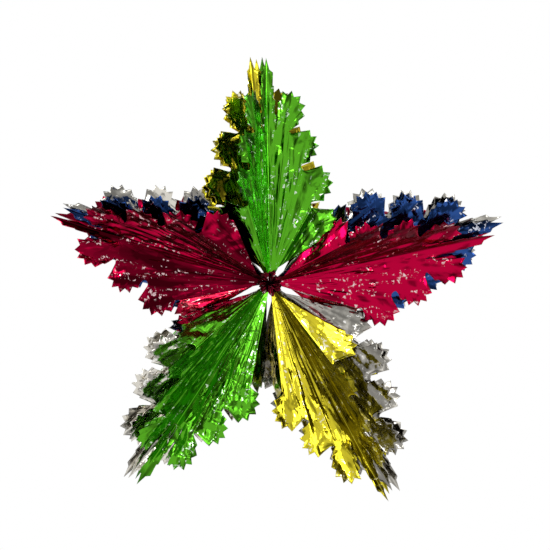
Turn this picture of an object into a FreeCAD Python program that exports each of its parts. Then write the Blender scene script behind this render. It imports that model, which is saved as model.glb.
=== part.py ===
"""Hanging star of folded foil leaves.

Five arms stand round a gathered foil stem. Each arm is four die-cut leaves, one behind another. A leaf is one
sheet of metallised film, folded lengthwise along its rib and creased again along straight lines that run from
the stem to the slots between its toothed lobes. The star hangs upright in the XZ plane and faces -Y.
Lengths are in millimetres and angles in degrees.
"""

import FreeCAD, Part
import math
import os

V = FreeCAD.Vector

# Sizes that can be changed one by one. Each becomes a named cell of the sheet.
SIZES = {
    "foil_thickness": 0.2,
    "rib_length": 196.0,
    "base_lobe_s": 55.5,
    "third_lobe_s": 87.5,
    "second_lobe_s": 119.5,
    "first_lobe_s": 151.5,
    "base_lobe_t": 45.5,
    "third_lobe_t": 39.0,
    "second_lobe_t": 30.0,
    "first_lobe_t": 17.0,
    "base_lobe_radius": 15.5,
    "third_lobe_radius": 17.5,
    "second_lobe_radius": 15.5,
    "first_lobe_radius": 16.5,
    "tooth_depth": 4.2,
    "slot_radius": 4.2,
    "slot_setback": 1.5,
    "tip_root_s": 136.0,
    "tip_half_width": 7.6,
    "tip_slot_radius": 1.9,
    "flap_start": 15.0,
    "arm_pull": 0.0,
    "left_turn": 163.0,
    "top_turn": 91.0,
    "right_turn": 12.0,
    "lower_right_turn": 298.5,
    "lower_left_turn": 236.5,
    "rib_spacing": 2.7,
    "stem_radius": 3.5,
    "stem_front": 10.0,
    "stem_back": 8.0,
    "neck_clearance": 0.3,
    "gather_radius": 7.0,
    "gather_length": 3.5,
    "tuft_radius": 4.5,
    "tuft_length": 3.0,
    "wire_thickness": 0.5,
    "wire_width": 1.8,
    "wire_clearance": 0.05,
    "wire_setback": 0.6,
}

# Layers of an arm from front to back, counted in rib spacings in front of the star's plane.
LAYERS = {"front": 1.5, "second": 0.5, "third": -0.5, "rear": -1.5}

# How each leaf hangs: its turn from its arm's line and how far out its sheet is drawn. Then, for its left and
# its right half seen from the front, the half's rise towards the front where it leaves the rib and its bends
# at the creases that run to the first, second and third slot. A positive bend turns the sheet to the back.
LEAVES = {
    ("top", "front"): (0.0, -4.0, (58, -4, -4, 90), (14, 2, 4, -25)),
    ("top", "second"): (4.0, -2.0, (38, 4, 6, 61), (-4, 3, 3, 55)),
    ("top", "third"): (2.5, -4.0, (20, 0, 0, 100), (-20, 3, 3, 70)),
    ("top", "rear"): (1.0, -2.0, (-24, 0, 0, 56), (-46, 0, 0, 45)),
    ("left", "front"): (0.0, 0.0, (14, 4, 4, 60), (48, -4, -6, 36)),
    ("left", "second"): (-3.0, -8.0, (-6, 3, 3, 51), (40, 4, 6, 168)),
    ("left", "third"): (-4.0, -6.0, (-12, 3, 3, 65), (2, 0, 0, 96)),
    ("left", "rear"): (-1.0, -2.0, (-46, 0, 0, 45), (-24, 0, 0, 56)),
    ("right", "front"): (0.0, 0.0, (52, -6, -6, 90), (6, 0, 2, 90)),
    ("right", "second"): (2.5, 10.0, (18, 4, 4, 75), (-14, 3, 3, 55)),
    ("right", "third"): (4.0, 10.0, (2, 2, 2, 70), (-12, 3, 3, 55)),
    ("right", "rear"): (1.0, -2.0, (-24, 0, 0, 26), (-46, 0, 0, -5)),
    ("lower_left", "front"): (0.0, 10.0, (28, 2, 2, 88), (50, -4, -4, 90)),
    ("lower_left", "second"): (-2.5, 10.0, (2, 6, 6, 80), (32, 4, 4, 78)),
    ("lower_left", "third"): (-3.5, 12.0, (-16, 4, 4, 60), (8, 2, 2, 80)),
    ("lower_left", "rear"): (-1.0, 8.0, (-46, 0, 0, 23), (-24, 0, 0, 48)),
    ("lower_right", "front"): (0.0, 16.0, (64, -4, -4, 80), (23, 2, 2, 85)),
    ("lower_right", "second"): (2.0, 10.0, (22, 4, 4, 38), (-4, 6, 6, 25)),
    ("lower_right", "third"): (3.5, 14.0, (6, 2, 2, 90), (-16, 4, 4, 60)),
    ("lower_right", "rear"): (1.0, 12.0, (-24, 0, 0, 41), (-46, 0, 0, 45)),
}

# Teeth of each lobe, from the base of the leaf to its tip: angle of the first tooth, step and number.
LOBES = (
    ("base", 150.0, -33.0, 4),
    ("third", 148.0, -30.0, 5),
    ("second", 152.0, -31.0, 5),
    ("first", 142.0, -31.0, 6),
)
MOUTH_ANGLE = 65.0
SLOT_STEPS = (110.0, 180.0, 250.0)


def fill_sheet(doc):
    """Puts every size into a sheet, one named cell each."""
    sheet = doc.addObject("Spreadsheet::Sheet", "Sizes")
    for row, (name, value) in enumerate(SIZES.items(), start=1):
        sheet.set("A%d" % row, name)
        sheet.set("B%d" % row, str(value))
        sheet.setAlias("B%d" % row, name)
    doc.recompute()
    return sheet


def polar(centre, radius, angle):
    """The point at that angle and radius from a flat point."""
    a = math.radians(angle)
    return (centre[0] + radius * math.cos(a), centre[1] + radius * math.sin(a))


def flat_angle(point):
    return math.degrees(math.atan2(point[1], point[0]))


def lobe_points(centre, radius, depth, first, step, count):
    """Tooth tips on a circle, with the valleys between them one tooth depth further in."""
    points = []
    for i in range(count):
        points.append(polar(centre, radius, first + i * step))
        if i < count - 1:
            points.append(polar(centre, radius - depth, first + (i + 0.5) * step))
    return points


def half_outline(size, pull):
    """The die-cut edge of one half, flat, from its base to its tip.

    It comes as four sections that meet at the deepest points of the three slots between the lobes. The first
    coordinate runs along the rib from the stem and the second away from the rib.
    """
    sections = []
    run = []
    before = None
    for name, first, step, count in LOBES:
        centre = (size(name + "_lobe_s") + pull, size(name + "_lobe_t"))
        if before:
            middle = ((before[0] + centre[0]) / 2, (before[1] + centre[1]) / 2)
            bottom = polar(middle, size("slot_setback"), MOUTH_ANGLE + 180)
            arc = [polar(bottom, size("slot_radius"), MOUTH_ANGLE + a) for a in SLOT_STEPS]
            sections.append(run + arc[:2])
            run = arc[1:]
        run += lobe_points(centre, size(name + "_lobe_radius"), size("tooth_depth"), first, step, count)
        before = centre
    sections.append(run + tip_points(size, pull))
    return sections


def tip_points(size, pull):
    """The inner side of the outermost lobe, the narrow slot beside it and the toothed finger at the tip."""
    root = size("tip_root_s") + pull
    end = size("rib_length") + pull
    w = size("tip_half_width")
    points = [(root + 24.5, w * 1.6), (root + 22.5, w * 1.2), (root + 17.0, w * 1.4)]
    points += [(root + 13.0, w * 1.05), (root + 8.0, w * 1.22)]
    points += [polar((root, w * 0.85), size("tip_slot_radius"), a) for a in (90.0, 180.0, 270.0)]
    teeth = 3
    pitch = (end - root - 12.0) / teeth
    for i in range(teeth):
        out = w * (1.0 - 0.13 * i)
        points.append((root + 11.5 + i * pitch, out))
        points.append((root + 14.0 + i * pitch, out - 2.8))
    points.append((end, 0.0))
    return points


def facet_frames(rise, bends, angles, side):
    """For each facet of a half: the line of its inner crease, the direction across it and its front normal."""
    a = math.radians(rise)
    along = V(1, 0, 0)
    across = V(0, side * math.cos(a), math.sin(a))
    normal = V(0, -side * math.sin(a), math.cos(a))
    frames = [(along, across, normal, 0.0)]
    reached = 0.0
    for bend, angle in zip(bends, angles):
        step = math.radians(angle - reached)
        reached = angle
        crease = along * math.cos(step) + across * math.sin(step)
        flat = across * math.cos(step) - along * math.sin(step)
        b = math.radians(bend)
        across = flat * math.cos(b) - normal * math.sin(b)
        normal = normal * math.cos(b) + flat * math.sin(b)
        along = crease
        frames.append((along, across, normal, angle))
    return frames


def on_facet(frame, point):
    """A flat point of the half, carried to where its facet stands."""
    along, across, normal, angle = frame
    r = math.hypot(point[0], point[1])
    a = math.radians(flat_angle(point) - angle)
    return along * (r * math.cos(a)) + across * (r * math.sin(a))


def mitre(n1, n2):
    """The offset that keeps both sheets at their thickness where they meet in a fold."""
    return (n1 + n2) * (1.0 / (1.0 + n1.dot(n2)))


def half_facets(size, pull, rise, bends, side, rib_offset):
    """The facets of one half, from the rib outwards, each a list of (corner, offset direction)."""
    sections = half_outline(size, pull)[::-1]
    angles = [flat_angle(section[0]) for section in sections[:3]]
    frames = facet_frames(rise, bends, angles, side)
    offsets = [rib_offset]
    for n in range(3):
        offsets.append(mitre(frames[n][2], frames[n + 1][2]))
    reach = size("stem_radius") + size("neck_clearance")

    def neck(frame, angle):
        """Where the crease at that angle meets the clear circle round the stem."""
        direction = on_facet(frame, polar((0.0, 0.0), 1.0, angle))
        return direction * (reach / math.hypot(direction.x, direction.y))

    facets = []
    for n, frame in enumerate(frames):
        normal = frame[2]
        edge = [[on_facet(frame, point), normal] for point in sections[n]]
        edge[-1][1] = offsets[n]
        if n < 3:
            edge[0][1] = offsets[n + 1]
        if n == 3:
            start = polar((0.0, 0.0), size("flap_start"), angles[2])
            inner = [[on_facet(frame, start), offsets[3]]]
        elif n == 2:
            start = polar((0.0, 0.0), size("flap_start"), angles[2])
            inner = [[neck(frame, frame[3]), offsets[2]], [neck(frame, angles[2]), normal]]
            inner.append([on_facet(frame, start), offsets[3]])
        else:
            inner = [[neck(frame, frame[3]), offsets[n]], [neck(frame, angles[n]), offsets[n + 1]]]
        facets.append(inner + edge)
    return facets


def flat_face(points):
    return Part.Face(Part.makePolygon(points + points[:1]))


def folded_sheet(facets, thickness):
    """One closed solid of even thickness from flat facets that share their crease edges."""
    half = thickness / 2
    faces = []
    rim = {}
    for facet in facets:
        front = [point + offset * half for point, offset in facet]
        back = [point - offset * half for point, offset in facet]
        faces.append(flat_face(front))
        faces.append(flat_face(back))
        for i in range(len(facet)):
            j = (i + 1) % len(facet)
            ends = frozenset(tuple(round(c, 4) for c in facet[n][0]) for n in (i, j))
            rim.setdefault(ends, []).append((front[i], front[j], back[j], back[i]))
    for sides in rim.values():
        if len(sides) > 1:
            continue
        a, b, c, d = sides[0]
        if abs((b - a).cross(c - a).dot(d - a)) < 1e-7:
            faces.append(flat_face([a, b, c, d]))
        else:
            faces.append(flat_face([a, b, c]))
            faces.append(flat_face([a, c, d]))
    solid = Part.Solid(Part.Shell(faces))
    if solid.Volume < 0:
        solid.reverse()
    return solid


def leaf_shape(size, pull, left, right):
    """A leaf in its own frame: X along the rib, Y to its left seen from the front, Z to the front."""
    rises = math.radians(left[0]), math.radians(right[0])
    rib = mitre(V(0, -math.sin(rises[0]), math.cos(rises[0])), V(0, math.sin(rises[1]), math.cos(rises[1])))
    facets = half_facets(size, pull, left[0], left[1:], 1, rib)
    facets += half_facets(size, pull, right[0], right[1:], -1, rib)
    return folded_sheet(facets, size("foil_thickness"))


def leaf_placement(turn, forward):
    """Stands a leaf's rib out from the stem at its turn, that far in front of the star's plane."""
    a = math.radians(turn)
    cos, sin = math.cos(a), math.sin(a)
    return FreeCAD.Placement(FreeCAD.Matrix(cos, -sin, 0, 0, 0, 0, -1, -forward, sin, cos, 0, 0, 0, 0, 0, 1))


def add_leaves(doc, sheet):
    def size(name):
        return float(sheet.get(name))

    leaves = []
    for (arm, layer), (turn, pull, left, right) in LEAVES.items():
        leaf = doc.addObject("Part::Feature", "Leaf")
        leaf.Label = "%s_%s_leaf" % (arm, layer)
        leaf.Shape = leaf_shape(size, pull + size("arm_pull"), left, right)
        forward = LAYERS[layer] * size("rib_spacing")
        leaf.Placement = leaf_placement(size(arm + "_turn") + turn, forward)
        leaves.append(leaf)
    return leaves


def add_round(doc, kind, name, sizes, start):
    """A round solid with its axis towards the front, its base at that expression's distance in front."""
    solid = doc.addObject("Part::" + kind, name)
    for prop, expression in sizes.items():
        solid.setExpression(prop, expression)
    solid.Placement = FreeCAD.Placement(V(0, 0, 0), FreeCAD.Rotation(V(1, 0, 0), 90))
    solid.setExpression("Placement.Base.y", "-(%s)" % start)
    return solid


def add_stem(doc):
    """The gathered necks: a rod of twisted foil, spread at its front and ending in a short tuft."""
    rod = {"Radius": "Sizes.stem_radius", "Height": "Sizes.stem_front + Sizes.stem_back"}
    gather = {
        "Radius1": "Sizes.stem_radius",
        "Radius2": "Sizes.gather_radius",
        "Height": "Sizes.gather_length",
    }
    tuft = {"Radius1": "Sizes.gather_radius", "Radius2": "Sizes.tuft_radius", "Height": "Sizes.tuft_length"}
    pieces = [
        add_round(doc, "Cylinder", "Rod", rod, "-Sizes.stem_back"),
        add_round(doc, "Cone", "Gather", gather, "Sizes.stem_front"),
        add_round(doc, "Cone", "Tuft", tuft, "Sizes.stem_front + Sizes.gather_length"),
    ]
    stem = doc.addObject("Part::MultiFuse", "Stem")
    stem.Shapes = pieces
    stem.Label = "centre_stem"
    return stem


def add_wire(doc):
    """The fine wire that ties the necks together, a few turns wound side by side behind the gather."""
    start = "Sizes.stem_front - Sizes.wire_setback - Sizes.wire_width"
    inner = "Sizes.stem_radius + Sizes.wire_clearance"
    turns = {"Radius": inner + " + Sizes.wire_thickness", "Height": "Sizes.wire_width"}
    hole = {"Radius": inner, "Height": "Sizes.wire_width"}
    wire = doc.addObject("Part::Cut", "Wire")
    wire.Base = add_round(doc, "Cylinder", "Turns", turns, start)
    wire.Tool = add_round(doc, "Cylinder", "Hole", hole, start)
    wire.Label = "tie_wire"
    return wire


def main():
    doc = FreeCAD.newDocument("FoilStar")
    sheet = fill_sheet(doc)
    parts = add_leaves(doc, sheet) + [add_stem(doc), add_wire(doc)]
    doc.recompute()
    for thing in doc.Objects:
        if "Invalid" in thing.State or "Error" in thing.State:
            raise RuntimeError("%s failed: %s" % (thing.Label, thing.State))
    for part in parts:
        if part.Shape.isNull() or not part.Shape.isValid():
            raise RuntimeError("%s has no valid shape" % part.Label)
    os.makedirs("parts", exist_ok=True)
    for part in parts:
        part.Shape.exportStep("parts/%s.step" % part.Label)


main()
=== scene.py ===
"""Looks of a hanging star of folded, crumpled foil leaves, laid out as an add-on and run as a script."""

import math

import bpy
import numpy as np
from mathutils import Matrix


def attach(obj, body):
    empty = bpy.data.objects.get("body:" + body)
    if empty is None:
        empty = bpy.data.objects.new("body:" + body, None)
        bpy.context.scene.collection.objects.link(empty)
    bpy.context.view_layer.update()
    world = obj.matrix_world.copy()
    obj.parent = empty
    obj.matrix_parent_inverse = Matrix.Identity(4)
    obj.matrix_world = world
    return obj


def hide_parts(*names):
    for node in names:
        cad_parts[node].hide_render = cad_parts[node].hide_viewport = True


bl_info = {
    "name": "Foil leaf star",
    "version": (1, 0, 0),
    "blender": (4, 5, 0),
    "location": "3D View > Sidebar > Foil star",
    "description": "Crumpled foil leaves, their gathered centre and a plain studio for a hanging star",
    "category": "Object",
}

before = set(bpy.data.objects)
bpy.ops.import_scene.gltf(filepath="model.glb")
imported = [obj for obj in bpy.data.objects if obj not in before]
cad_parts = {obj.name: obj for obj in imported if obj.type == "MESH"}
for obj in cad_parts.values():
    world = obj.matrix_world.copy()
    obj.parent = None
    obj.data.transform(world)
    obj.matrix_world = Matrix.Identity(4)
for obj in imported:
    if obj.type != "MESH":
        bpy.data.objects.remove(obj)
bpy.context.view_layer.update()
MM = 0.001

# Arms: the way each one points, in degrees from +X towards +Z.
ARM_TURNS = {"left": 163.0, "top": 91.0, "right": 12.0, "lower_right": 298.5, "lower_left": 236.5}
RIB_SPACING = 2.7
LAYERS = {"front": 1.5, "second": 0.5, "third": -0.5, "rear": -1.5}

# Leaves: turn from the arm's line, how far out the sheet is drawn (mm), then for the left and the right half
# the rise at the rib and the bends at the three creases, in degrees.
LEAVES = {
    ("top", "front"): (0.0, -4.0, (58, -4, -4, 90), (14, 2, 4, -25)),
    ("top", "second"): (4.0, -2.0, (38, 4, 6, 61), (-4, 3, 3, 55)),
    ("top", "third"): (2.5, -4.0, (20, 0, 0, 100), (-20, 3, 3, 70)),
    ("top", "rear"): (1.0, -2.0, (-24, 0, 0, 56), (-46, 0, 0, 45)),
    ("left", "front"): (0.0, 0.0, (14, 4, 4, 60), (48, -4, -6, 36)),
    ("left", "second"): (-3.0, -8.0, (-6, 3, 3, 51), (40, 4, 6, 168)),
    ("left", "third"): (-4.0, -6.0, (-12, 3, 3, 65), (2, 0, 0, 96)),
    ("left", "rear"): (-1.0, -2.0, (-46, 0, 0, 45), (-24, 0, 0, 56)),
    ("right", "front"): (0.0, 0.0, (52, -6, -6, 90), (6, 0, 2, 90)),
    ("right", "second"): (2.5, 10.0, (18, 4, 4, 75), (-14, 3, 3, 55)),
    ("right", "third"): (4.0, 10.0, (2, 2, 2, 70), (-12, 3, 3, 55)),
    ("right", "rear"): (1.0, -2.0, (-24, 0, 0, 26), (-46, 0, 0, -5)),
    ("lower_left", "front"): (0.0, 10.0, (28, 2, 2, 88), (50, -4, -4, 90)),
    ("lower_left", "second"): (-2.5, 10.0, (2, 6, 6, 80), (32, 4, 4, 78)),
    ("lower_left", "third"): (-3.5, 12.0, (-16, 4, 4, 60), (8, 2, 2, 80)),
    ("lower_left", "rear"): (-1.0, 8.0, (-46, 0, 0, 23), (-24, 0, 0, 48)),
    ("lower_right", "front"): (0.0, 16.0, (64, -4, -4, 80), (23, 2, 2, 85)),
    ("lower_right", "second"): (2.0, 10.0, (22, 4, 4, 38), (-4, 6, 6, 25)),
    ("lower_right", "third"): (3.5, 14.0, (6, 2, 2, 90), (-16, 4, 4, 60)),
    ("lower_right", "rear"): (1.0, 12.0, (-24, 0, 0, 41), (-46, 0, 0, 45)),
}

# Foil colour of each leaf's slot in the record.
SLOTS = {
    "top": ("green_foil", "gold_foil", "gold_foil", "green_foil"),
    "left": ("crimson_foil", "blue_foil", "silver_foil", "crimson_foil"),
    "right": ("crimson_foil", "blue_foil", "silver_foil", "crimson_foil"),
    "lower_left": ("green_foil", "silver_foil", "silver_foil", "green_foil"),
    "lower_right": ("gold_foil", "silver_foil", "silver_foil", "gold_foil"),
}

# Die-cut outline of one half, flat, in millimetres: each lobe's centre along and off the rib, its radius, and
# its teeth as first angle, step and number.
LOBES = (
    (55.5, 45.5, 15.5, 150.0, -33.0, 4),
    (87.5, 39.0, 17.5, 148.0, -30.0, 5),
    (119.5, 30.0, 15.5, 152.0, -31.0, 5),
    (151.5, 17.0, 16.5, 142.0, -31.0, 6),
)
TOOTH_DEPTH = 4.2
SLOT_RADIUS = 4.2
SLOT_SETBACK = 1.5
MOUTH_ANGLE = 65.0
SLOT_STEPS = (110.0, 145.0, 180.0, 215.0, 250.0)
TIP_ROOT = 136.0
TIP_HALF_WIDTH = 7.6
TIP_SLOT_RADIUS = 1.9
RIB_LENGTH = 196.0
NECK = 3.9
FLAP_START = 15.0

# Gathered centre: where its profile is given, as shares of the way from the back to the front.
GATHER_STATIONS = (0, 0.1, 0.45, 0.62, 0.8, 0.93, 1.0)

# Merging distances (m), thinner than any edge of the meshes.
LEAF_WELD = 0.00002
GATHER_WELD = 0.00001


def linear(colour):
    """An sRGB colour, 0 to 255, as the linear values that shader sockets take."""
    c = np.array(colour) / 255.0
    return tuple(np.where(c <= 0.04045, c / 12.92, ((c + 0.055) / 1.055) ** 2.4))


class FOILSTAR_PG_leaf(bpy.types.PropertyGroup):
    """Sizes of the sheets' finish."""

    thickness: bpy.props.FloatProperty(
        name="Foil thickness", description="Thickness of a sheet", default=0.00016, unit="LENGTH"
    )
    crumple: bpy.props.FloatProperty(
        name="Crumple", description="Height of the random creases", default=0.0013, unit="LENGTH"
    )
    pleat: bpy.props.FloatProperty(
        name="Pleat", description="Height of the pleats that run out from the gather", default=0.0006, unit="LENGTH"
    )
    curl: bpy.props.FloatProperty(
        name="Curl", description="How far a lobe's edge curls", default=0.0045, unit="LENGTH"
    )
    rows: bpy.props.IntProperty(name="Rows", description="Mesh rows from the neck to the edge", default=56)


class FOILSTAR_PG_colours(bpy.types.PropertyGroup):
    """Foil colours."""

    green: bpy.props.FloatVectorProperty(
        name="Green", description="Green foil", subtype="COLOR", default=linear((84, 164, 34))
    )
    gold: bpy.props.FloatVectorProperty(
        name="Gold", description="Gold foil", subtype="COLOR", default=linear((206, 192, 46))
    )
    crimson: bpy.props.FloatVectorProperty(
        name="Crimson", description="Crimson foil", subtype="COLOR", default=linear((178, 4, 54))
    )
    blue: bpy.props.FloatVectorProperty(
        name="Blue", description="Blue foil", subtype="COLOR", default=linear((44, 78, 142))
    )
    silver: bpy.props.FloatVectorProperty(
        name="Silver", description="Silver foil", subtype="COLOR", default=linear((214, 210, 200))
    )
    stem: bpy.props.FloatVectorProperty(
        name="Stem", description="Gathered foil at the centre", subtype="COLOR", default=linear((96, 14, 30))
    )


class FOILSTAR_PG_stage(bpy.types.PropertyGroup):
    """Camera and light."""

    distance: bpy.props.FloatProperty(
        name="Camera distance", description="From the star to the camera", default=1.6, unit="LENGTH"
    )
    view_width: bpy.props.FloatProperty(
        name="View width", description="Width of the view at the star", default=0.47025, unit="LENGTH"
    )
    key: bpy.props.FloatProperty(name="Key light", description="Power of the key softbox", default=26.0, unit="POWER")
    fill: bpy.props.FloatProperty(name="Fill light", description="Power of the fill", default=12.0, unit="POWER")


def ring_points(centre, radius, angles):
    """Flat points on a circle at those angles in degrees."""
    a = np.radians(np.asarray(angles, float))
    return np.stack([centre[0] + radius * np.cos(a), centre[1] + radius * np.sin(a)], -1)


def half_outline(pull):
    """Edge of one half as four runs of flat points, base lobe first, each ending at a slot's deepest point.

    A lobe's teeth stand on a circle and the valleys lie one tooth depth inside it, halfway between them. A
    slot's bottom is a short arc behind the midpoint of the two lobes' centres.
    """
    runs = []
    run = []
    before = None
    for s, t, radius, first, step, count in LOBES:
        centre = np.array([s + pull, t])
        if before is not None:
            middle = (before + centre) / 2
            bottom = ring_points(middle, SLOT_SETBACK, [MOUTH_ANGLE + 180])[0]
            arc = ring_points(bottom, SLOT_RADIUS, MOUTH_ANGLE + np.array(SLOT_STEPS))
            runs.append(np.concatenate(run + [arc[:3]]))
            run = [arc[2:]]
        tips = ring_points(centre, radius, first + step * np.arange(count))
        valleys = ring_points(centre, radius - TOOTH_DEPTH, first + step * (np.arange(count - 1) + 0.5))
        teeth = np.empty((2 * count - 1, 2))
        teeth[0::2] = tips
        teeth[1::2] = valleys
        run.append(teeth)
        before = centre
    root = TIP_ROOT + pull
    end = RIB_LENGTH + pull
    w = TIP_HALF_WIDTH
    inner = [(24.5, w * 1.6), (22.5, w * 1.2), (17.0, w * 1.4), (13.0, w * 1.05), (8.0, w * 1.22)]
    run.append(np.array(inner) + [root, 0.0])
    run.append(ring_points((root, w * 0.85), TIP_SLOT_RADIUS, [90.0, 180.0, 270.0]))
    pitch = (end - root - 12.0) / 4
    out = w * (1.0 - 0.1 * np.arange(4))
    start = root + 11.5 + pitch * np.arange(4)
    finger = np.empty((8, 2))
    finger[0::2] = np.stack([start, out], -1)
    finger[1::2] = np.stack([start + 2.5, out - 2.8], -1)
    run += [finger, np.array([[end, 0.0]])]
    runs.append(np.concatenate(run))
    return runs


def refine(points, pieces):
    """Each straight edge cut into that many equal pieces."""
    k = np.arange(pieces) / pieces
    cut = points[:-1, None, :] * (1 - k)[None, :, None] + points[1:, None, :] * k[None, :, None]
    return np.concatenate([cut.reshape(-1, 2), points[-1:]])


def facet_frames(rise, bends, angles, side):
    """For each facet its crease line, the direction across it and its front normal, turned crease by crease."""
    a = math.radians(rise)
    along = np.array([1.0, 0.0, 0.0])
    across = np.array([0.0, side * math.cos(a), math.sin(a)])
    normal = np.array([0.0, -side * math.sin(a), math.cos(a)])
    frames = [(along, across, normal, 0.0)]
    reached = 0.0
    for bend, angle in zip(bends, angles):
        step = math.radians(angle - reached)
        reached = angle
        crease = along * math.cos(step) + across * math.sin(step)
        flat = across * math.cos(step) - along * math.sin(step)
        b = math.radians(bend)
        across = flat * math.cos(b) - normal * math.sin(b)
        normal = normal * math.cos(b) + flat * math.sin(b)
        along = crease
        frames.append((along, across, normal, angle))
    return frames


def triangle_wave(x):
    """A wave of straight flanks between -1 and 1, which gives sharp creases and flat panels."""
    return 1.0 - 4.0 * np.abs(x - np.floor(x) - 0.5)


def smooth(x, low, high):
    """Rises smoothly from 0 at low to 1 at high."""
    t = np.clip((x - low) / (high - low), 0.0, 1.0)
    return t * t * (3 - 2 * t)


def crumple_height(s, t, rng):
    """Random creases: straight-flanked waves of falling length in random directions, patchy in strength."""
    height = np.zeros_like(s)
    for length in (46.0, 31.0, 22.0, 15.0, 11.0, 8.0):
        turn = rng.uniform(0, math.pi)
        phase = rng.uniform(0, 1)
        patch = 0.5 + 0.5 * np.sin(s / rng.uniform(14, 30) + t / rng.uniform(10, 24) + rng.uniform(0, 6.3))
        height += triangle_wave((s * math.cos(turn) + t * math.sin(turn)) / length + phase) * patch * length / 46.0
    return height


def pleat_height(angle, radius, creases, rng):
    """Pleats that run out from the gather, strong beside the folds, nearly gone on the open panels."""
    near = np.min(np.abs(angle[..., None] - np.array(creases)), axis=-1)
    drift = 0.8 * np.sin(radius / 23.0 + rng.uniform(0, 6.3)) + 0.5 * np.sin(radius / 9.0 + angle / 3.0)
    wave = triangle_wave((angle + drift) / 5.3 + rng.uniform(0, 1))
    wave = wave + 0.5 * triangle_wave((angle - drift) / 2.3 + rng.uniform(0, 1))
    strength = 0.16 + 0.84 * np.exp(-near / 2.2)
    return wave * strength * smooth(radius, 3, 45) * (1.0 - 0.6 * smooth(radius, 90, 180))


def painted_tilt_reflection(normals, seed):
    """Painted reflection: the tone that a mirror-like patch is painted with for its tilt, from a few waves over the
    direction that it faces.

    A small change of tilt swings the painted tone from dark to bright, as reflections do on crumpled foil. The normal
    is folded to one side first, so that both faces of a sheet have the same painted tone.
    """
    n = normals * np.where(normals[:, 1:2] > 0, -1.0, 1.0)
    rng = np.random.default_rng(77 + seed)
    painted_tone = np.zeros(len(n))
    for pitch, weight in ((3.0, 0.35), (6.0, 0.55), (10.0, 0.55), (17.0, 0.35)):
        way = rng.normal(size=3)
        way = way / np.linalg.norm(way)
        painted_tone += weight * np.sin(pitch * (n @ way) + rng.uniform(0, 6.3))
    return smooth(painted_tone, -0.55, 0.60)


def grid_normals(place):
    """Unit normals of a grid of places, from the cross product of its two differences."""
    du = np.gradient(place, axis=0)
    dv = np.gradient(place, axis=1)
    n = np.cross(du, dv)
    return n / np.maximum(np.linalg.norm(n, axis=-1, keepdims=True), 1e-9)


def half_surface(settings, pull, rise, bends, side, rng):
    """Grid of one half: one column for each point of the edge, one row from the neck out to the edge.

    A column runs straight from the neck to the lobe's chord and on to the edge point. Each point is lifted
    off its flat facet by the pleats, the crumple and the lobe's curl. Returns one grid per facet, with the
    flat coordinates beside the places.
    """
    runs = half_outline(pull)[::-1]
    angles = [math.degrees(math.atan2(r[0][1], r[0][0])) for r in runs[:3]]
    frames = facet_frames(rise, bends, angles, side)
    base = runs[3][0]
    edges = [0.0] + angles + [math.degrees(math.atan2(base[1], base[0]))]
    grids = []
    rows = settings.rows
    for n, run in enumerate(runs):
        edge = refine(run, 2)[::-1]
        travelled = np.concatenate([[0.0], np.cumsum(np.hypot(*np.diff(edge, axis=0).T))])
        u = travelled / travelled[-1]
        if n == 0:
            root = np.array([TIP_ROOT + pull - 3.0, TIP_HALF_WIDTH * 0.85])
            on_finger = edge[:, 1] < TIP_HALF_WIDTH * 1.02
            share = np.clip((TIP_ROOT + pull - 3.0) / np.maximum(edge[:, 0], 1.0), 0.0, 1.0)
            chord = edge * share[:, None]
            lobe_u = np.clip((u - u[on_finger].max()) / (1 - u[on_finger].max()), 0.0, 1.0)
            to_slot = root * (1 - lobe_u)[:, None] + (edge[-1] * 0.985) * lobe_u[:, None]
            chord = np.where(on_finger[:, None], chord, to_slot)
        elif n == 3:
            start = ring_points((0.0, 0.0), FLAP_START, angles[2])
            far = edge[-1]
            chord = edge[0] * (1 - u)[:, None] * 0.985 + (start * 0.35 + far * 0.65) * u[:, None]
        else:
            chord = (edge[0] * (1 - u)[:, None] + edge[-1] * u[:, None]) * 0.985
        v = np.linspace(0.0, 1.0, rows)
        core = 0.72
        if n == 3:
            neck = np.tile(start, (len(edge), 1))
        else:
            direction = chord / np.hypot(chord[:, 0], chord[:, 1])[:, None]
            neck = direction * NECK
        inner = np.clip(v / core, 0, 1)[None, :, None]
        outer = np.clip((v - core) / (1 - core), 0, 1)[None, :, None]
        flat = neck[:, None, :] * (1 - inner) + chord[:, None, :] * inner
        flat = flat + (edge - chord)[:, None, :] * outer
        s, t = flat[..., 0], flat[..., 1]
        radius = np.hypot(s, t)
        angle = np.degrees(np.arctan2(t, s))
        along, across, normal, start_angle = frames[n]
        a = np.radians(angle - start_angle)
        place = along * (radius * np.cos(a))[..., None] + across * (radius * np.sin(a))[..., None]
        lift = settings.pleat / MM * pleat_height(angle, radius, edges, np.random.default_rng(rng.integers(1 << 30)))
        grids.append({"s": s, "t": t, "r": radius, "a": angle, "place": place, "normal": normal, "lift": lift,
                      "outer": np.broadcast_to(outer[..., 0], s.shape), "facet": n})
    return grids, edges


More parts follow.
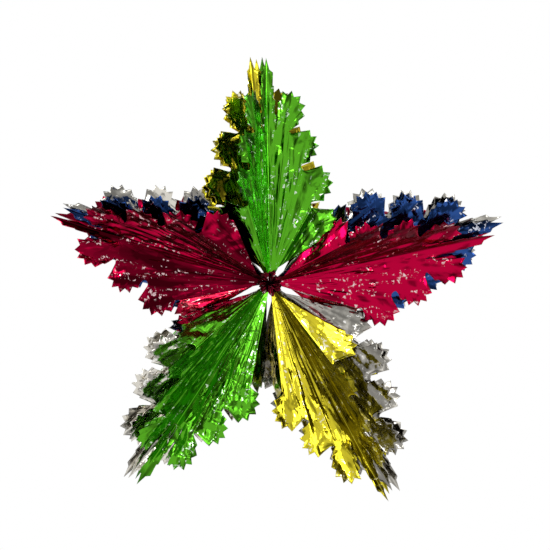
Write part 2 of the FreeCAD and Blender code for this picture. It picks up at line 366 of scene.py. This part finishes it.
def leaf_mesh(key, settings):
    """Points, quads, flat coordinates and painted reflection tone of one leaf, joined from its two halves.

    All facets share one crumple field, so that their common creases meet. It fades at the folds and the neck.
    """
    turn, pull, left, right = LEAVES[key]
    arm, layer = key
    seed = 100 * list(ARM_TURNS).index(arm) + 7 * list(LAYERS).index(layer) + 3
    points, flats, faces, normals = [], [], [], []
    base = 0
    for side, half in ((1, left), (-1, right)):
        rng = np.random.default_rng(seed + (side > 0))
        grids, edges = half_surface(settings, pull, half[0], half[1:], side, rng)
        curls = rng.uniform(-1.0, 1.0, 4)
        crumple_seed = rng.integers(1 << 30)
        for g in grids:
            near = np.min(np.abs(g["a"][..., None] - np.array(edges[:4])), axis=-1) * g["r"] * math.pi / 180
            calm = smooth(near, 0.0, 6.0) * smooth(g["r"], 5, 60)
            field = crumple_height(g["s"], g["t"], np.random.default_rng(crumple_seed))
            lift = g["lift"] * smooth(near, 0.0, 2.5) + settings.crumple / MM * field * calm
            lift = lift + curls[g["facet"]] * settings.curl / MM * g["outer"] ** 2 * smooth(near, 0.0, 8.0)
            place = g["place"] + g["normal"] * lift[..., None]
            nu, nv = g["s"].shape
            index = base + np.arange(nu * nv).reshape(nu, nv)
            quad = np.stack([index[:-1, :-1], index[1:, :-1], index[1:, 1:], index[:-1, 1:]], -1).reshape(-1, 4)
            faces.append(quad[:, ::-1] if side < 0 else quad)
            points.append(place.reshape(-1, 3))
            normals.append(grid_normals(place).reshape(-1, 3))
            flats.append(np.stack([g["s"], g["t"] * side], -1).reshape(-1, 2))
            base += nu * nv
    local = np.concatenate(points) * MM
    facing = np.concatenate(normals)
    a = math.radians(ARM_TURNS[arm] + turn)
    forward = LAYERS[layer] * RIB_SPACING * MM
    x = local[:, 0] * math.cos(a) - local[:, 1] * math.sin(a)
    z = local[:, 0] * math.sin(a) + local[:, 1] * math.cos(a)
    place = np.stack([x, -(local[:, 2] + forward), z], -1)
    tilt = np.stack([facing[:, 0] * math.cos(a) - facing[:, 1] * math.sin(a), -facing[:, 2],
                     facing[:, 0] * math.sin(a) + facing[:, 1] * math.cos(a)], -1)
    return place, np.concatenate(faces), np.concatenate(flats), painted_tilt_reflection(tilt, seed), seed


def build_mesh(name, points, quads, flat=None, painted_tone=None, seed=0.0):
    """A mesh from whole arrays, with the flat sheet's coordinates in metres as its UV map."""
    mesh = bpy.data.meshes.new(name)
    mesh.vertices.add(len(points))
    mesh.vertices.foreach_set("co", np.asarray(points, np.float32).ravel())
    mesh.loops.add(quads.size)
    mesh.loops.foreach_set("vertex_index", quads.astype(np.int32).ravel())
    mesh.polygons.add(len(quads))
    mesh.polygons.foreach_set("loop_start", np.arange(0, quads.size, quads.shape[1], dtype=np.int32))
    mesh.update(calc_edges=True)
    mesh.validate()
    if flat is not None:
        uv = mesh.uv_layers.new(name="flat")
        loops = np.zeros(len(mesh.loops), np.int32)
        mesh.loops.foreach_get("vertex_index", loops)
        uv.data.foreach_set("uv", (flat[loops] * MM).astype(np.float32).ravel())
        value = mesh.attributes.new("foil_seed", "FLOAT", "POINT")
        value.data.foreach_set("value", np.full(len(points), seed, np.float32))
        value = mesh.attributes.new("foil_tone", "FLOAT", "POINT")
        value.data.foreach_set("value", np.asarray(painted_tone, np.float32))
        mesh.shade_smooth()
        mesh.set_sharp_from_angle(angle=math.radians(24))
    obj = bpy.data.objects.new(name, mesh)
    bpy.context.scene.collection.objects.link(obj)
    return obj


def weld(obj, distance):
    """Joins the facets' shared edges."""
    bpy.context.view_layer.objects.active = obj
    modifier = obj.modifiers.new("Weld", "WELD")
    modifier.merge_threshold = distance


def thicken(obj, thickness):
    """Gives a sheet its wall, half to each side."""
    modifier = obj.modifiers.new("Thickness", "SOLIDIFY")
    modifier.thickness = thickness
    modifier.offset = 0.0
    modifier.use_even_offset = False


class NodeMaker:
    """Adds shader nodes to one material and links them."""

    def __init__(self, name):
        self.material = bpy.data.materials.new(name)
        self.material.use_nodes = True
        self.tree = self.material.node_tree
        self.tree.nodes.clear()

    def add(self, kind, **values):
        node = self.tree.nodes.new("ShaderNode" + kind)
        for key, value in values.items():
            setattr(node, key, value)
        return node

    def link(self, source, target):
        self.tree.links.new(source, target)

    def math(self, operation, a, b=None, clamp=False):
        node = self.add("Math", operation=operation, use_clamp=clamp)
        for socket, value in zip(node.inputs, (a, b)):
            if value is None:
                continue
            if hasattr(value, "is_linked"):
                self.link(value, socket)
            else:
                socket.default_value = value
        return node.outputs[0]

    def mix(self, factor, a, b, blend="MIX"):
        node = self.add("Mix", data_type="RGBA", blend_type=blend)
        for socket, value in ((node.inputs[0], factor), (node.inputs[6], a), (node.inputs[7], b)):
            if hasattr(value, "is_linked"):
                self.link(value, socket)
            elif isinstance(value, tuple):
                socket.default_value = (*value, 1.0)
            else:
                socket.default_value = value
        return node.outputs[2]

    def ramp(self, factor, stops):
        node = self.add("ValToRGB")
        ramp = node.color_ramp
        while len(ramp.elements) < len(stops):
            ramp.elements.new(0.5)
        for element, (position, value) in zip(ramp.elements, stops):
            element.position = position
            element.color = (value, value, value, 1.0)
        self.link(factor, node.inputs[0])
        return node.outputs[0]


def foil_material(name, colour, dark, painted_highlight):
    """Metallised film: bright metal whose colour carries painted light: dark painted streaks along the pleats, a
    painted reflection tone by tilt, creased panels of painted reflection and small painted highlights.
    """
    m = NodeMaker(name)
    uv = m.add("UVMap", uv_map="flat").outputs[0]
    seed = m.add("Attribute", attribute_name="foil_seed").outputs["Fac"]
    split = m.add("SeparateXYZ")
    m.link(uv, split.inputs[0])
    along, off = split.outputs[0], split.outputs[1]
    angle = m.math("ARCTAN2", off, along)
    radius = m.math("SQRT", m.math("ADD", m.math("MULTIPLY", along, along), m.math("MULTIPLY", off, off)))
    fan = m.add("CombineXYZ")
    m.link(m.math("MULTIPLY", angle, 9.0), fan.inputs[0])
    m.link(m.math("MULTIPLY", radius, 16.0), fan.inputs[1])
    m.link(seed, fan.inputs[2])
    # Painted shade and light: noise streaks that run out along the pleats, dark to bright.
    painted_streaks = m.add("TexNoise")
    m.link(fan.outputs[0], painted_streaks.inputs["Vector"])
    painted_streaks.inputs["Scale"].default_value = 1.0
    painted_streaks.inputs["Detail"].default_value = 3.0
    shade = m.ramp(painted_streaks.outputs["Fac"], ((0.38, 0.0), (0.47, 0.5), (0.53, 0.6), (0.62, 1.0)))
    place = m.add("TexCoord").outputs["Object"]
    # Painted reflection: each Voronoi crumple panel gets its own flat tone.
    reflection_panels = m.add("TexVoronoi", feature="F1")
    m.link(place, reflection_panels.inputs["Vector"])
    reflection_panels.inputs["Scale"].default_value = 70.0
    # The painted reflection tone, baked from each patch's tilt, is read here and mixed with the painted streaks and
    # panels.
    tilt = m.add("Attribute", attribute_name="foil_tone").outputs["Fac"]
    painted_tone = m.math("ADD", m.math("MULTIPLY", tilt, 0.62), m.math("MULTIPLY", shade, 0.26))
    painted_tone = m.math("ADD", painted_tone, m.math("ADD", m.math("MULTIPLY", reflection_panels.outputs["Color"], 0.12), 0.06), clamp=True)
    # The colour runs from the painted shade colour through a mid tone to the full foil colour as the painted tone
    # rises.
    mid = tuple(0.46 * c for c in colour)
    low = m.mix(m.ramp(painted_tone, ((0.18, 0.0), (0.44, 1.0))), dark, mid)
    body = m.mix(m.ramp(painted_tone, ((0.50, 0.0), (0.80, 1.0))), low, colour)
    # Painted highlights: small flecks, grouped in clusters along the fan, take the lighter highlight colour.
    highlight_flecks = m.add("TexNoise")
    m.link(place, highlight_flecks.inputs["Vector"])
    highlight_flecks.inputs["Scale"].default_value = 300.0
    highlight_flecks.inputs["Detail"].default_value = 3.0
    highlight_flecks.inputs["Distortion"].default_value = 0.8
    highlight_clusters = m.add("TexNoise")
    m.link(fan.outputs[0], highlight_clusters.inputs["Vector"])
    highlight_clusters.inputs["Scale"].default_value = 1.9
    highlight_clusters.inputs["Detail"].default_value = 4.0
    highlight_spot = m.ramp(highlight_flecks.outputs["Fac"], ((0.585, 0.0), (0.61, 1.0)))
    patch = m.ramp(highlight_clusters.outputs["Fac"], ((0.54, 0.0), (0.60, 1.0)))
    surface = m.mix(m.math("MULTIPLY", highlight_spot, patch), body, painted_highlight)
    shader = m.add("BsdfPrincipled")
    shader.inputs["Metallic"].default_value = 1.0
    shader.inputs["Roughness"].default_value = 0.13
    m.link(surface, shader.inputs["Base Color"])
    crease = m.add("TexVoronoi", feature="DISTANCE_TO_EDGE")
    m.link(place, crease.inputs["Vector"])
    crease.inputs["Scale"].default_value = 95.0
    fine = m.add("TexNoise")
    m.link(place, fine.inputs["Vector"])
    fine.inputs["Scale"].default_value = 170.0
    folds = m.math("MINIMUM", crease.outputs["Distance"], 0.12)
    height = m.math("ADD", folds, m.math("MULTIPLY", fine.outputs["Fac"], 0.25))
    bump = m.add("Bump")
    bump.inputs["Strength"].default_value = 0.35
    bump.inputs["Distance"].default_value = 0.002
    m.link(height, bump.inputs["Height"])
    m.link(bump.outputs[0], shader.inputs["Normal"])
    m.link(shader.outputs[0], m.add("OutputMaterial").inputs[0])
    return m.material


def foil_colour(slot):
    """The foil colour that the panel holds for a slot."""
    colours = bpy.context.scene.foilstar_colours
    return tuple(getattr(colours, slot.split("_")[0]))


def foil(slot):
    """The material of a slot, made once. The frame's own materials have the slots' names, so this one differs."""
    name = "crumpled_" + slot
    if name in bpy.data.materials:
        return bpy.data.materials[name]
    colour = foil_colour(slot)
    # The dark end of the painted shade.
    dark = tuple((0.24 if slot.startswith("silver") else 0.09) * c for c in colour)
    # The lighter colour of the painted highlights.
    painted_highlight = tuple(min(1.0, 0.45 * c + 0.55) for c in colour)
    return foil_material(name, colour, dark, painted_highlight)


class FOILSTAR_OT_leaves(bpy.types.Operator):
    """Hangs the four crumpled leaves of one arm"""

    bl_idname = "foilstar.leaves"
    bl_label = "Leaves of an arm"
    arm: bpy.props.StringProperty(name="Arm", description="Which arm to make", default="top")

    def execute(self, context):
        settings = context.scene.foilstar_leaf
        for layer, slot in zip(LAYERS, SLOTS[self.arm]):
            name = "%s_%s_leaf" % (self.arm, layer)
            points, quads, flat, painted_tone, seed = leaf_mesh((self.arm, layer), settings)
            leaf = build_mesh(name + "_foil", points, quads, flat, painted_tone, seed)
            weld(leaf, LEAF_WELD)
            thicken(leaf, settings.thickness)
            leaf.data.materials.append(foil(slot))
            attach(leaf, "root")
            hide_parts(name)
        return {"FINISHED"}


class FOILSTAR_OT_centre(bpy.types.Operator):
    """Gathers the necks at the centre"""

    bl_idname = "foilstar.centre"
    bl_label = "Gathered centre"

    def execute(self, context):
        u = np.linspace(0, 2 * math.pi, 181)[:-1]
        v = np.linspace(0, 1, 61)
        uu, vv = np.meshgrid(u, v, indexing="ij")
        radius = np.interp(vv, GATHER_STATIONS, [0.0, 3.2, 3.3, 3.6, 8.9, 7.4, 0.5])
        front = np.interp(vv, GATHER_STATIONS, [-8.0, -7.5, 4.0, 9.8, 12.8, 15.6, 13.0])
        twist = uu + 2.2 * vv
        ruffle = 0.16 * triangle_wave(twist * 7 / (2 * math.pi))
        ruffle = ruffle + 0.10 * triangle_wave(twist * 17 / (2 * math.pi) + 0.3)
        ruffle = ruffle + 0.05 * triangle_wave(twist * 31 / (2 * math.pi) + 2 * vv)
        radius = radius * (1 + ruffle * smooth(vv, 0.1, 0.8) * 1.6)
        front = front + 1.2 * triangle_wave(twist * 5 / (2 * math.pi) + 0.2) * smooth(vv, 0.65, 0.9)
        points = np.stack([radius * np.cos(uu), -front, radius * np.sin(uu)], -1).reshape(-1, 3) * MM
        nu, nv = uu.shape
        index = np.arange(nu * nv).reshape(nu, nv)
        nxt = np.roll(index, -1, axis=0)
        quads = np.stack([index[:, :-1], index[:, 1:], nxt[:, 1:], nxt[:, :-1]], -1).reshape(-1, 4)
        flat = np.stack([vv * 40, uu * 8], -1).reshape(-1, 2)
        # Painted light and shade: bands across the ruffles, stored as the painted tone.
        painted_tone = smooth(triangle_wave(twist * 9 / (2 * math.pi) + vv) + 0.5 * triangle_wave(3 * vv), -0.6, 1.3)
        stem = build_mesh("centre_gather", points, quads, flat, painted_tone.reshape(-1), 5.0)
        weld(stem, GATHER_WELD)
        stem.data.materials.append(foil("stem_foil"))
        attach(stem, "root")
        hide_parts("centre_stem")
        wire = NodeMaker("wound_wire")
        shader = wire.add("BsdfPrincipled")
        shader.inputs["Metallic"].default_value = 1.0
        shader.inputs["Roughness"].default_value = 0.3
        # Painted shade and highlight: dark and light bands stand for the round wound turns.
        turn_shading = wire.add("TexWave", wave_type="BANDS", bands_direction="Y")
        wire.link(wire.add("TexCoord").outputs["Object"], turn_shading.inputs["Vector"])
        turn_shading.inputs["Scale"].default_value = 400.0
        wire.link(wire.mix(turn_shading.outputs["Fac"], (0.22, 0.21, 0.20), (0.62, 0.61, 0.58)), shader.inputs["Base Color"])
        wire.link(shader.outputs[0], wire.add("OutputMaterial").inputs[0])
        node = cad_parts["tie_wire"]
        node.data.materials.clear()
        node.data.materials.append(wire.material)
        return {"FINISHED"}


class FOILSTAR_OT_stage(bpy.types.Operator):
    """Sets the floor, the light and the camera"""

    bl_idname = "foilstar.stage"
    bl_label = "Stage"

    def execute(self, context):
        scene = context.scene
        stage = scene.foilstar_stage
        scene.view_settings.view_transform = "Standard"
        points = np.array([[-6, -6, -0.9], [6, -6, -0.9], [6, 6, -0.9], [-6, 6, -0.9]])
        floor = build_mesh("floor", points, np.array([[0, 1, 2, 3]]))
        m = NodeMaker("pale_floor")
        shader = m.add("BsdfPrincipled")
        shader.inputs["Base Color"].default_value = (0.85, 0.85, 0.85, 1)
        shader.inputs["Roughness"].default_value = 0.9
        white = m.add("Emission")
        path = m.add("LightPath")
        seen = m.math("MAXIMUM", path.outputs["Is Camera Ray"], path.outputs["Is Glossy Ray"])
        seen = m.math("MAXIMUM", seen, path.outputs["Is Transmission Ray"])
        blend = m.add("MixShader")
        m.link(seen, blend.inputs[0])
        m.link(shader.outputs[0], blend.inputs[1])
        m.link(white.outputs[0], blend.inputs[2])
        m.link(blend.outputs[0], m.add("OutputMaterial").inputs[0])
        floor.data.materials.append(m.material)
        world = bpy.data.worlds.new("studio")
        scene.world = world
        world.use_nodes = True
        tree = world.node_tree
        tree.nodes.clear()
        path = tree.nodes.new("ShaderNodeLightPath")
        soft = tree.nodes.new("ShaderNodeBackground")
        soft.inputs[0].default_value = (1, 1, 1, 1)
        soft.inputs[1].default_value = 0.55
        white = tree.nodes.new("ShaderNodeBackground")
        white.inputs[0].default_value = (1, 1, 1, 1)
        mix = tree.nodes.new("ShaderNodeMixShader")
        out = tree.nodes.new("ShaderNodeOutputWorld")
        seen = path.outputs["Is Camera Ray"]
        for ray in ("Is Glossy Ray", "Is Transmission Ray"):
            either = tree.nodes.new("ShaderNodeMath")
            either.operation = "MAXIMUM"
            tree.links.new(seen, either.inputs[0])
            tree.links.new(path.outputs[ray], either.inputs[1])
            seen = either.outputs[0]
        tree.links.new(seen, mix.inputs[0])
        tree.links.new(soft.outputs[0], mix.inputs[1])
        tree.links.new(white.outputs[0], mix.inputs[2])
        tree.links.new(mix.outputs[0], out.inputs[0])
        self.lamp("key", (-1.1, -1.6, 1.3), 1.2, stage.key)
        self.lamp("fill", (1.5, -1.3, 0.3), 0.9, stage.fill)
        self.lamp("back", (0.4, 1.6, 1.2), 1.2, stage.fill)
        camera_data = bpy.data.cameras.new("camera")
        camera = bpy.data.objects.new("camera", camera_data)
        scene.collection.objects.link(camera)
        camera.location = (0.0043, -stage.distance, 0.0068)
        camera.rotation_euler = (math.pi / 2, 0, 0)
        camera_data.sensor_width = 36.0
        camera_data.lens = 36.0 * stage.distance / stage.view_width
        scene.camera = camera
        return {"FINISHED"}

    def lamp(self, name, place, size, power):
        """A square softbox that looks at the star."""
        data = bpy.data.lights.new(name, "AREA")
        data.size = size
        data.energy = power
        lamp = bpy.data.objects.new(name, data)
        bpy.context.scene.collection.objects.link(lamp)
        lamp.location = place
        x, y, z = place
        lamp.rotation_euler = (math.atan2(math.hypot(x, y), z), 0, math.atan2(x, -y))


class FOILSTAR_PT_panel(bpy.types.Panel):
    """Lists the star's operators"""

    bl_idname = "FOILSTAR_PT_panel"
    bl_label = "Foil star"
    bl_space_type = "VIEW_3D"
    bl_region_type = "UI"
    bl_category = "Foil star"

    def draw(self, context):
        for operator in (FOILSTAR_OT_leaves, FOILSTAR_OT_centre, FOILSTAR_OT_stage):
            self.layout.operator(operator.bl_idname)


CLASSES = (
    FOILSTAR_PG_leaf,
    FOILSTAR_PG_colours,
    FOILSTAR_PG_stage,
    FOILSTAR_OT_leaves,
    FOILSTAR_OT_centre,
    FOILSTAR_OT_stage,
    FOILSTAR_PT_panel,
)


def register():
    for cls in CLASSES:
        bpy.utils.register_class(cls)
    bpy.types.Scene.foilstar_leaf = bpy.props.PointerProperty(type=FOILSTAR_PG_leaf)
    bpy.types.Scene.foilstar_colours = bpy.props.PointerProperty(type=FOILSTAR_PG_colours)
    bpy.types.Scene.foilstar_stage = bpy.props.PointerProperty(type=FOILSTAR_PG_stage)


def unregister():
    del bpy.types.Scene.foilstar_stage
    del bpy.types.Scene.foilstar_colours
    del bpy.types.Scene.foilstar_leaf
    for cls in reversed(CLASSES):
        bpy.utils.unregister_class(cls)


def main():
    register()
    for arm in ARM_TURNS:
        bpy.ops.foilstar.leaves(arm=arm)
    bpy.ops.foilstar.centre()
    bpy.ops.foilstar.stage()


if __name__ == "__main__":
    main()
